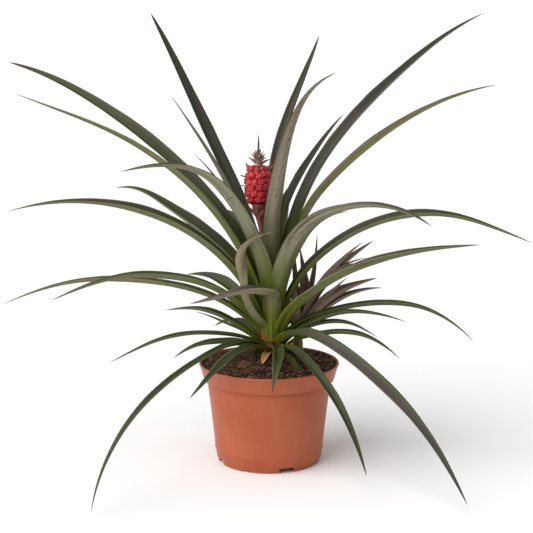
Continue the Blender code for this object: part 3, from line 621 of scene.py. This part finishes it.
def along(values, share):
    """Smooth value at a share (0 to 1) of the way along evenly spaced values."""
    last = len(values) - 1
    if last == 0:
        return values[0]
    position = min(max(share, 0.0), 1.0) * last
    i = min(int(position), last - 1)
    t = position - i
    a, b = values[i], values[i + 1]
    before = values[i - 1] if i else 2 * a - b
    after = values[i + 2] if i + 2 <= last else 2 * b - a
    bend = 2 * before - 5 * a + 4 * b - after
    twist = 3 * (a - b) + after - before
    return a + 0.5 * t * (b - before + t * (bend + t * twist))


def directions(headings, pitches, share):
    """A blade's forward direction and its level sideways direction."""
    heading = math.radians(along(headings, share))
    pitch = math.radians(along(pitches, share))
    level = np.array([math.cos(heading), math.sin(heading), 0.0])
    side = np.array([-math.sin(heading), math.cos(heading), 0.0])
    return level * math.cos(pitch) + np.array([0.0, 0.0, math.sin(pitch)]), side


def spine(foot, headings, pitches, length, steps, roll=0.0):
    """Stations along a blade's rib: point, forward, sideways and upward directions."""
    point = np.array(foot, dtype=float)
    stations = []
    for k in range(steps + 1):
        if k:
            forward, _ = directions(headings, pitches, (k - 0.5) / steps)
            point = point + forward * length / steps
        forward, side = directions(headings, pitches, k / steps)
        up = np.cross(forward, side)
        tilt = math.radians(roll) * min(1.0, k / (steps * ROLL_ONSET))
        rolled_side = side * math.cos(tilt) + up * math.sin(tilt)
        rolled_up = up * math.cos(tilt) - side * math.sin(tilt)
        stations.append((point, forward, rolled_side, rolled_up))
    return stations


def fold_at(share):
    """Half angle of the channel."""
    if share < 0.2:
        return FOOT_FOLD + (BLADE_FOLD - FOOT_FOLD) * share / 0.2
    return BLADE_FOLD + (TIP_FOLD - BLADE_FOLD) * max(0.0, (share - 0.6) / 0.4)


def blade(skin, stations, length, span, sharpness, seed, neck, neck_length, tooth, thick):
    """Add one channelled, tapering and finely toothed blade to a skin.

    Its foot is neck times as broad as its span, and comes to that span over neck_length.
    """
    last = len(stations) - 1
    u = np.array(ACROSS)
    around = np.concatenate([u, u[-2:0:-1]])
    face = np.concatenate([np.ones(len(u)), -np.ones(len(u) - 2)])
    face[[0, len(u) - 1]] = 0.0
    rings, shares = [], []
    for k, (point, forward, side, up) in enumerate(stations):
        share = k / last
        reach = share * length
        widen = neck + (1.0 - neck) * min(1.0, reach / neck_length)
        narrow = min(1.0, (1.0 - share) / TAPER) ** sharpness
        half = 0.5 * (TIP_SPAN + (span - TIP_SPAN) * widen * narrow)
        lift = 0.5 * half * math.tan(math.radians(fold_at(share)))
        ripple = [noise.noise(Vector((reach / RIPPLE, seed * 37.0 + shift, 0.5))) for shift in (0.0, 9.0)]
        wave = np.where(around > 0, ripple[0], ripple[1]) * around**2 * RIPPLE_HEIGHT * half
        rise = lift * (2.0 * np.abs(around) ** ROUNDING - 1.0) + wave
        rib = 1.0 - np.abs(around) ** 1.6
        thickness = (EDGE_THICKNESS + (thick - EDGE_THICKNESS) * rib) * min(1.0, half / 2.0)
        toothed = k % 2 and 2 < k < last - 1
        rim = (np.abs(around) > 0.999) * (tooth * min(1.0, half / 3.0) if toothed else 0.0)
        ring = (
            point
            + np.outer(around * half + np.sign(around) * rim, side)
            + np.outer(rise + 0.5 * face * thickness, up)
            + np.outer(rim * 1.6, forward)
        )
        rings.append(ring)
        shares.append(share)
    shares = np.array(shares)[:, None]
    skin.rings(
        rings,
        across=around[None, :],
        below=(0.5 - 0.5 * face)[None, :],
        share=shares,
        reach=shares * length,
        seed=seed,
    )


def stem_radius(height):
    """The stem's radius at a height: even in the soil, tapering above it."""
    share = (height - STEM_KNEE) / (STEM_TOP - STEM_KNEE)
    return STEM_RADIUS + min(max(share, 0.0), 1.0) * (STEM_TOP_RADIUS - STEM_RADIUS)


def leaf_stations(headings, height, pitches, length, roll):
    """Stations of one of LEAVES, from its foot beside the stem to its tip."""
    reach = (stem_radius(height) + LEAF_SEAT) / math.cos(math.radians(22.0))
    bearing = math.radians(headings[0])
    foot = (STEM_X + reach * math.cos(bearing), STEM_Y + reach * math.sin(bearing), height)
    steps = 2 * round(length / STATION / 2)
    return spine(foot, headings, pitches, length, steps, roll)


def make_leaves():
    """Every leaf of the rosette, each over its own CAD leaf. Gives back the finishes by name."""
    finishes = {name: leaf_finish(name) for name in FINISHES}
    finishes["dry"] = dry_leaf_finish()
    chance = random.Random(11)
    for index, (finish, headings, height, pitches, length, span, roll, sharpness) in enumerate(LEAVES, 1):
        skin = Skin()
        stations = leaf_stations(headings, height, CREASED.get(index, pitches), length, roll)
        neck = BROAD_FEET.get(index, 0.85 if length > 60 else 0.7)
        neck_length = 70.0 if neck > 1.0 else 35.0
        seed = chance.random()
        blade(skin, stations, length, span, sharpness, seed, neck, neck_length, TOOTH, RIB_THICKNESS)
        skin.make(f"blade_{index:02d}", finishes[finish], (f"leaf_{index:02d}",))
    return finishes


def make_offset(finish):
    """The small side shoot: its short stem with all its leaves."""
    skin = Skin()
    chance = random.Random(5)
    outline = ((PUP_RADIUS - 0.8, 74.0), (PUP_RADIUS, 76.0), (PUP_RADIUS, 98.0), (2.2, 108.0))
    skin.rings(turned(outline, PUP_X, PUP_Y, 16), across=0.0, reach=8.0, seed=0.4, below=1.0)
    shape = {"sharpness": 0.8, "neck": 0.6, "neck_length": 25.0, "tooth": 0.25, "thick": 0.8}
    for k, (headings, pitches, length, span) in enumerate(PUP_LEAVES):
        root = (PUP_X, PUP_Y, 93.0 + 9.0 * (len(PUP_LEAVES) - k) / len(PUP_LEAVES))
        stations = spine(root, headings, pitches, length, 2 * round(length / STATION / 2))
        blade(skin, stations, length, PUP_BROADER * span, seed=chance.random(), **shape)
    skin.make("offset_shoot", finish, ("offset_plant",))


def stalk_point(height):
    """The fruit's stalk leans from the top of the stem to the middle of the fruit's foot."""
    share = (height - STEM_TOP) / (FRUIT_FOOT - STEM_TOP)
    ease = share * share * (3 - 2 * share)
    return np.array([STEM_X + (FRUIT_X - STEM_X) * ease, STEM_Y + (FRUIT_Y - STEM_Y) * ease, height])


def make_stalk():
    """The fruit's stalk, with its clasping scales and the bracts under the fruit."""
    skin = Skin()
    chance = random.Random(3)
    rings = []
    for height in np.linspace(STEM_TOP + 0.3, FRUIT_FOOT - 0.2, 40):
        radius = STALK_RADIUS + STALK_SWELL * min(1.0, max(0.0, (height - 206.0) / 16.0))
        ring = []
        for a in angles(18):
            rough = 1.0 + 0.10 * noise.noise(Vector((2 * math.cos(a), 2 * math.sin(a), height / 4.0)))
            ring.append(stalk_point(height) + radius * rough * np.array([math.cos(a), math.sin(a), 0.0]))
        rings.append(ring)
    skin.rings(rings, share=0.3, seed=0.5)
    shape = {"sharpness": 0.9, "neck": 0.8, "neck_length": 5.0, "tooth": 0.0, "thick": 0.5}
    for k in range(SCALES):
        stations = spine(stalk_point(158.0 + 5.2 * k), (NEXT_LEAF * k,), (86, 84, 82), 13.0, 14)
        blade(skin, stations, 13.0, 3.9, seed=chance.random(), **shape)
    for k in range(BRACTS):
        heading = 360.0 / BRACTS * k + 8.0
        stations = spine(stalk_point(209.0 + 2.0 * (k % 2)), (heading,), (44, 40, 58), 14.5, 14)
        blade(skin, stations, 13.5, 5.2, seed=chance.random(), **shape)
    colours = (0.26, 0.060, 0.045), (0.33, 0.105, 0.080), (0.14, 0.050, 0.036), (0.46, 0.230, 0.175)
    skin.make("stalk_and_bracts", scale_finish("stalk_pink", *colours), ("fruit_stalk",))


def fruit_radius(share):
    """The fruit's outline: a rounded barrel, a little narrower at its top."""
    round_off = max(0.0, 1.0 - abs(2.0 * share - 0.96) ** 2.5) ** 0.5
    return FRUIT_END_RADIUS + (FRUIT_RADIUS - FRUIT_END_RADIUS) * round_off * (1.03 - 0.10 * share)


def lobe(skin, middle, axes, shape_seed, crest_seed):
    """One swollen, uneven lobe. Its axes are vectors: half its width, height and depth."""
    wide, tall, deep = axes
    rings, crest = [], []
    for polar in np.linspace(0.10, math.pi - 0.2, 9):
        ring = []
        for a in angles(14):
            dent = 1.0 + 0.16 * noise.noise(Vector((2 * math.cos(a), 2 * math.sin(a), shape_seed)))
            out = math.sin(polar) ** 0.85 * dent
            ring.append(middle + wide * out * math.cos(a) + tall * out * math.sin(a) + deep * math.cos(polar))
        rings.append(ring)
        crest.append(max(0.0, math.cos(polar)))
    skin.rings(rings, share=np.array(crest)[:, None], seed=crest_seed)


def fruitlet(skin, share, bearing, chance):
    """One fruitlet: a broad lower lobe and two smaller upper ones."""
    height = FRUIT_TOP - FRUIT_FOOT
    near = 0.03
    up = np.array([0.0, 0.0, 1.0])
    out = np.array([math.cos(bearing), math.sin(bearing), 0.0])
    side = np.array([-math.sin(bearing), math.cos(bearing), 0.0])
    gain = fruit_radius(min(share + near, 1.0)) - fruit_radius(max(share - near, 0.0))
    lean = math.atan(max(-1.2, min(1.2, gain / (2 * near * height))))
    normal = out * math.cos(lean) - up * math.sin(lean)
    rise = out * math.sin(lean) + up * math.cos(lean)
    radius = fruit_radius(share)
    centre = np.array([FRUIT_X, FRUIT_Y, FRUIT_FOOT + height * share]) + out * (radius - LOBE_SINK)
    reach = min(1.0, radius / FRUIT_RADIUS) * chance.uniform(0.92, 1.08)
    twist = chance.uniform(-0.55, 0.55)
    tone = chance.random()
    for turn, away, wide, tall, deep in LOBES:
        angle = turn + twist
        middle = centre + away * reach * (side * math.sin(angle) + rise * math.cos(angle))
        axes = side * wide * reach, rise * tall * reach, normal * deep
        lobe(skin, middle, axes, 9 * bearing + 31 * share + turn, tone)


def make_fruit():
    """The fruit: fruitlets in one climbing spiral over a core, and its dried stubs."""
    skin = Skin()
    chance = random.Random(17)
    height = FRUIT_TOP - FRUIT_FOOT
    shares = np.linspace(0.0, 0.94, 16)
    core = [(max(FRUIT_CORE_RADIUS, fruit_radius(s) - 1.5), FRUIT_FOOT + height * s) for s in shares]
    skin.rings(turned(core, FRUIT_X, FRUIT_Y, 36), share=0.0, seed=0.5)
    for k in range(FRUITLETS):
        share = 0.01 + 0.83 * k / (FRUITLETS - 1)
        bearing = 2 * math.pi * k / FRUIT_TURN + chance.uniform(-0.12, 0.12)
        fruitlet(skin, share + chance.uniform(-0.028, 0.028), bearing, chance)
    skin.make("fruit_body", fruit_finish(), ("fruit",))
    make_stubs(chance)


def make_stubs(chance):
    """The dried flower stubs, and the small bracts round the fruit's top."""
    skin = Skin()
    shape = {"sharpness": 0.5, "neck": 0.5, "neck_length": 4.0, "tooth": 0.0, "thick": 1.3}
    for bearing, level, out, pitch, length, span in STUBS:
        angle = math.radians(bearing)
        root = (FRUIT_X + out * math.cos(angle), FRUIT_Y + out * math.sin(angle), level)
        stations = spine(root, (bearing, bearing + 14), (pitch, pitch + 8, pitch + 24), length, 10)
        blade(skin, stations, length, span, seed=chance.random(), **shape)
    shape = {"sharpness": 0.7, "neck": 0.9, "neck_length": 4.0, "tooth": 0.0, "thick": 0.9}
    for k in range(TOP_BRACTS):
        bearing = 33.0 * k
        angle = math.radians(bearing)
        root = (FRUIT_X + 5.2 * math.cos(angle), FRUIT_Y + 5.2 * math.sin(angle), 249.4)
        stations = spine(root, (bearing,), (48, 58, 72), chance.uniform(5.0, 7.0), 8)
        blade(skin, stations, 6.0, 3.4, seed=chance.random(), **shape)
    colours = (0.42, 0.030, 0.034), (0.40, 0.085, 0.070), (0.30, 0.120, 0.080), (0.55, 0.240, 0.190)
    skin.make("flower_stubs", scale_finish("stub_pink", *colours))


def make_crown():
    """The tuft of stiff leaflets on the fruit round a dark middle spike."""
    skin = Skin()
    chance = random.Random(23)
    heights = CROWN_FOOT - 1.0, CROWN_FOOT + 2.0, CROWN_FOOT + 7.0, CROWN_FOOT + 10.5
    outline = zip((4.2, 3.0, 1.8, 0.8), heights)
    skin.rings(turned(outline, FRUIT_X, FRUIT_Y, 16), share=0.2, seed=0.5)
    shape = {"sharpness": 0.95, "neck": 0.9, "neck_length": 4.0, "tooth": 0.10, "thick": 0.7}
    for k in range(CROWN_LEAVES):
        tier = k / CROWN_LEAVES
        pitch = 24 + 48 * tier
        pitches = pitch + 30, pitch + 14, pitch, pitch - 12
        root = (FRUIT_X, FRUIT_Y, CROWN_FOOT + 0.2 + 6.0 * tier)
        length = (13.0 - 2.6 * tier) * chance.uniform(0.92, 1.05)
        stations = spine(root, (NEXT_LEAF * k + 4.0,), pitches, length, 14)
        blade(skin, stations, length, 3.9, seed=chance.random(), **shape)
    colours = (0.46, 0.34, 0.24), (0.27, 0.20, 0.13), (0.10, 0.048, 0.042), (0.52, 0.42, 0.31)
    skin.make("crown_tuft", scale_finish("crown_scales", *colours), ("crown",))

    spike = Skin()
    foot = (FRUIT_X + 0.2, FRUIT_Y + 0.1, CROWN_FOOT + 9.0)
    length = CROWN_TOP - CROWN_FOOT - 9.0
    stations = spine(foot, (23.0,), (88, 89, 90), length, 16)
    shape = {"sharpness": 0.6, "neck": 0.9, "neck_length": 4.0, "tooth": 0.0, "thick": 1.6}
    blade(spike, stations, length, 2.2, seed=0.3, **shape)
    colours = (0.10, 0.06, 0.05), (0.035, 0.022, 0.020), (0.07, 0.045, 0.04), (0.13, 0.09, 0.08)
    spike.make("crown_spike", scale_finish("spike_dark", *colours))


# ---- Pot and soil


def pot_wall_radius(height):
    """The outer radius of the pot's tapered body."""
    share = (height - BODY_FOOT) / (BODY_TOP - BODY_FOOT)
    return BODY_FOOT_RADIUS + (BODY_TOP_RADIUS - BODY_FOOT_RADIUS) * share


def pot_outline():
    """Radii and heights round the pot's section, from the underside of its floor to its inside."""

    def body(height, proud=0.0):
        """A point on the tapered body, or so far proud of it."""
        return pot_wall_radius(height) + proud, height

    ring = [
        (0.5, POT_FLOOR), (FOOT_INSIDE - 0.5, POT_FLOOR), (FOOT_INSIDE, 4.3), (FOOT_INSIDE, 0.25),
        (FOOT_INSIDE + 0.25, 0.0), (FOOT_OUTSIDE - 0.3, 0.0), (FOOT_OUTSIDE, 0.3), (FOOT_OUTSIDE + 0.1, 3.6),
        (FOOT_OUTSIDE + 0.4, 4.0), (BODY_FOOT_RADIUS - 0.3, 4.05), (BODY_FOOT_RADIUS, 4.4),
    ]
    line = [body(11.4), body(11.8, 0.5), body(12.4, 0.6), body(13.4, 0.1)]
    side = [body(30.0), body(50.0)]
    crease = [(52.7, 67.0), (52.3, 69.4), (52.1, 70.6), (52.6, 71.4)]
    collar = [(55.2, 71.5), (55.8, 71.8), (56.05, 72.4)]
    rounding = [
        (0.65, 2.0), (0.25, 1.7), (0.0, 1.25), (0.0, 0.6), (0.2, 0.2), (0.6, 0.0),
        (1.2, 0.0), (1.55, 0.15), (1.7, 0.5),
    ]
    lip = [(RIM_RADIUS - inwards, POT_TOP - down) for inwards, down in rounding]
    step = [(54.4, 72.4), (54.1, 71.9), (51.6, 69.6), (51.3, 68.9)]
    floor = [(45.6 - POT_WALL, 7.3), (43.2, POT_FLOOR_TOP), (0.5, POT_FLOOR_TOP)]
    return ring + line + side + crease + collar + lip + step + floor


def cut(piece, cutters):
    """Take the cutters out of a piece, then remove them."""
    for cutter in cutters:
        modifier = piece.modifiers.new("cut", "BOOLEAN")
        modifier.operation = "DIFFERENCE"
        modifier.solver = "EXACT"
        modifier.object = cutter
    bpy.context.view_layer.update()
    evaluated = piece.evaluated_get(bpy.context.evaluated_depsgraph_get())
    mesh = bpy.data.meshes.new_from_object(evaluated)
    piece.modifiers.clear()
    piece.data = mesh
    for cutter in cutters:
        bpy.data.objects.remove(cutter, do_unlink=True)


def cutter_from(bm, name):
    """A bmesh in millimetres as an object in metres."""
    bmesh.ops.scale(bm, vec=(MM, MM, MM), verts=bm.verts)
    mesh = bpy.data.meshes.new(name)
    bm.to_mesh(mesh)
    bm.free()
    made = bpy.data.objects.new(name, mesh)
    bpy.context.scene.collection.objects.link(made)
    return made


def notch_cutter(bearing, width, height):
    """A block across the foot ring, with its upper corners rounded."""
    bm = bmesh.new()
    bmesh.ops.create_cube(bm, size=1.0)
    bmesh.ops.scale(bm, vec=(NOTCH_DEPTH, width, 2.0 * height), verts=bm.verts)
    upper = []
    for edge in bm.edges:
        a, b = (vert.co for vert in edge.verts)
        if a.z > 0 and b.z > 0 and abs(a.x - b.x) > NOTCH_DEPTH / 2:
            upper.append(edge)
    bmesh.ops.bevel(bm, geom=upper, offset=min(1.0, 0.5 * height), segments=4, affect="EDGES")
    bmesh.ops.translate(bm, vec=(NOTCH_RADIUS, 0.0, 0.0), verts=bm.verts)
    turn = Matrix.Rotation(math.radians(bearing), 3, "Z")
    bmesh.ops.rotate(bm, cent=(0, 0, 0), matrix=turn, verts=bm.verts)
    return cutter_from(bm, "notch_cutter")


def drain_cutter(bearing):
    """A round cutter through the pot's floor."""
    bm = bmesh.new()
    size = {"radius1": DRAIN_RADIUS, "radius2": DRAIN_RADIUS, "depth": 20.0}
    bmesh.ops.create_cone(bm, cap_ends=True, segments=32, **size)
    angle = math.radians(bearing)
    middle = (DRAIN_RING * math.cos(angle), DRAIN_RING * math.sin(angle), 4.0)
    bmesh.ops.translate(bm, vec=middle, verts=bm.verts)
    return cutter_from(bm, "drain_cutter")


def make_pot():
    """The moulded pot: a collar with a rounded lip, a line round its body, and a notched foot."""
    skin = Skin()
    skin.rings(turned(pot_outline(), 0.0, 0.0, POT_SIDES), share=0.0)
    pot = skin.make("pot_shell", pot_finish(), ("pot",))
    cutters = []
    for k in range(NOTCHES):
        width, height = LOW_NOTCH if k % 2 else TALL_NOTCH
        cutters.append(notch_cutter(FIRST_NOTCH + 360.0 / NOTCHES * k, width, height))
    for k in range(DRAINS):
        cutters.append(drain_cutter(360.0 / DRAINS * k))
    cut(pot, cutters)
    pot.data.set_sharp_from_angle(angle=math.radians(38))


def soil_height(x, y):
    """The soil's top: level at the pot's wall, heaped up round the stem and lumpy all over."""
    distance = math.hypot(x - STEM_X, y - STEM_Y)
    rise = min(0.74, max(0.0, 1.0 - distance / RIM_RADIUS) ** 1.3)
    lumps = 0.0
    for size, breadth, layer in LUMPS:
        lumps += size * noise.noise(Vector((x / breadth, y / breadth, layer)))
    return SOIL_LEVEL + SOIL_HEAP * rise + lumps


def make_soil():
    """The soil and what lies in it: root fibres, bark and crumbs."""
    skin = Skin()
    rings = turned(SOIL_SIDE, 0.0, 0.0, SOIL_SIDES)
    top = [(radius, SOIL_LEVEL) for radius in np.linspace(SOIL_EDGE, 0.4, SOIL_RINGS)]
    for ring in turned(top, 0.0, 0.0, SOIL_SIDES):
        rings.append([(x, y, soil_height(x, y)) for x, y, _ in ring])
    skin.rings(rings)
    skin.make("soil_bed", soil_finish(), ("soil",))
    chance = random.Random(29)
    make_fibres(chance)
    make_crumbs(chance)


def open_soil(chance, clear, reach):
    """A point on the soil within reach of its middle and clear of both stems."""
    while True:
        radius, angle = reach * math.sqrt(chance.random()), chance.uniform(0, 2 * math.pi)
        x, y = radius * math.cos(angle), radius * math.sin(angle)
        if math.hypot(x - STEM_X, y - STEM_Y) > clear and math.hypot(x - PUP_X, y - PUP_Y) > PUP_CLEAR:
            return x, y


def make_fibres(chance):
    """Root fibres all over the soil, and a tuft of them to the left of the stem."""
    skin = Skin()
    for k in range(FIBRES + TUFT_FIBRES):
        x, y = open_soil(chance, 11.0, 54.0)
        if k >= FIBRES:
            x, y = chance.gauss(*TUFT_X), chance.gauss(*TUFT_Y)
        length, radius = chance.uniform(3.0, 9.0), chance.uniform(0.10, 0.22)
        heading, turn = chance.uniform(0, 360), chance.uniform(-90, 90)
        lift = chance.uniform(5, 75)
        root = (x, y, soil_height(x, y) - 0.3)
        pitches = lift, lift * 0.2, -lift
        rings = []
        for step, station in enumerate(spine(root, (heading, heading + turn), pitches, length, FIBRE_STEPS)):
            point, _, side, up = station
            thin = radius * (1.0 - 0.55 * step / FIBRE_STEPS)
            circle = angles(FIBRE_SIDES)
            rings.append([point + thin * (math.cos(a) * side + math.sin(a) * up) for a in circle])
        skin.rings(rings, seed=chance.random() ** 1.5)
    finish = litter_finish("root_fibre", (0.060, 0.022, 0.010), (0.58, 0.290, 0.150))
    skin.make("soil_fibres", finish)


def make_crumbs(chance):
    """Crumbs of bark and peat: dented balls, flattened and turned at random."""
    skin = Skin()
    ball = bmesh.new()
    bmesh.ops.create_icosphere(ball, subdivisions=2, radius=1.0)
    ball_points = [vert.co.copy() for vert in ball.verts]
    ball_faces = [tuple(vert.index for vert in face.verts) for face in ball.faces]
    ball.free()
    for k in range(CRUMBS):
        x, y = open_soil(chance, 10.0, 56.0)
        size = 0.35 + 1.1 * chance.random() ** 2.5
        axes = Vector((size * chance.uniform(0.9, 2.0), size, size * chance.uniform(0.35, 0.7)))
        spin = Matrix.Rotation(chance.uniform(0, 6.3), 3, "Z")
        turn = spin @ Matrix.Rotation(chance.uniform(-0.5, 0.5), 3, "X")
        centre = Vector((x, y, soil_height(x, y) + 0.1 * size))
        points = []
        for p in ball_points:
            dent = 1.0 + 0.42 * noise.noise(p * 1.7 + Vector((7.0 * k, 0.0, 0.0)))
            points.append(centre + turn @ (p * axes) * dent)
        skin.add(points, ball_faces, seed=chance.random() ** 2.4)
    finish = litter_finish("bark_crumb", (0.012, 0.007, 0.004), (0.27, 0.150, 0.085))
    skin.make("soil_crumbs", finish)


# ---- Stage


def sunlight(name, place, angle, strength):
    """A broad, soft and even light that shines from a place to the origin."""
    light = bpy.data.lights.new(name, "SUN")
    light.angle = math.radians(angle)
    light.energy = strength
    made = bpy.data.objects.new(name, light)
    made.location = place
    bpy.context.scene.collection.objects.link(made)
    made.rotation_mode = "QUATERNION"
    made.rotation_quaternion = (-made.location).to_track_quat("-Z", "Y")


def make_floor():
    """A plain pale floor, just under the part."""
    bm = bmesh.new()
    bmesh.ops.create_grid(bm, x_segments=8, y_segments=8, size=FLOOR_HALF)
    mesh = bpy.data.meshes.new("floor")
    bm.to_mesh(mesh)
    bm.free()
    floor = bpy.data.objects.new("floor", mesh)
    floor.location = (0.0, 0.0, -FLOOR_DROP)
    bpy.context.scene.collection.objects.link(floor)
    paint = Paint("floor_white")
    shade = paint.noise(paint.place(), 3.0, 3.0)
    mesh.materials.append(paint.finish(paint.mix(shade, (0.93, 0.93, 0.93), (0.95, 0.95, 0.95)), 0.9))


def make_stage():
    """The floor, soft light from the upper left, and a camera with a long lens, a little above."""
    make_floor()
    world = bpy.data.worlds.new("studio")
    bpy.context.scene.world = world
    world.use_nodes = True
    sky = world.node_tree.nodes["Background"].inputs
    sky["Color"].default_value = (1.0, 1.0, 1.0, 1.0)
    sky["Strength"].default_value = SKY_STRENGTH
    sunlight("key", KEY_FROM, KEY_ANGLE, KEY_STRENGTH)

    camera = bpy.data.cameras.new("camera")
    camera.lens, camera.sensor_width = CAMERA_LENS, 36.0
    camera.clip_start, camera.clip_end = 0.05, 200.0
    made = bpy.data.objects.new("camera", camera)
    made.location = CAMERA_PLACE
    made.rotation_euler = (math.radians(90.0 - CAMERA_DIP), 0.0, 0.0)
    bpy.context.scene.collection.objects.link(made)
    bpy.context.scene.camera = made
    bpy.context.scene.view_settings.view_transform = "Standard"


def dress_stem():
    """The CAD stem stays, with a better finish."""
    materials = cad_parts["stem"].data.materials
    materials.clear()
    materials.append(stem_finish())


make_stage()
make_pot()
make_soil()
finishes = make_leaves()
make_offset(finishes["offset"])
make_stalk()
make_fruit()
make_crown()
dress_stem()
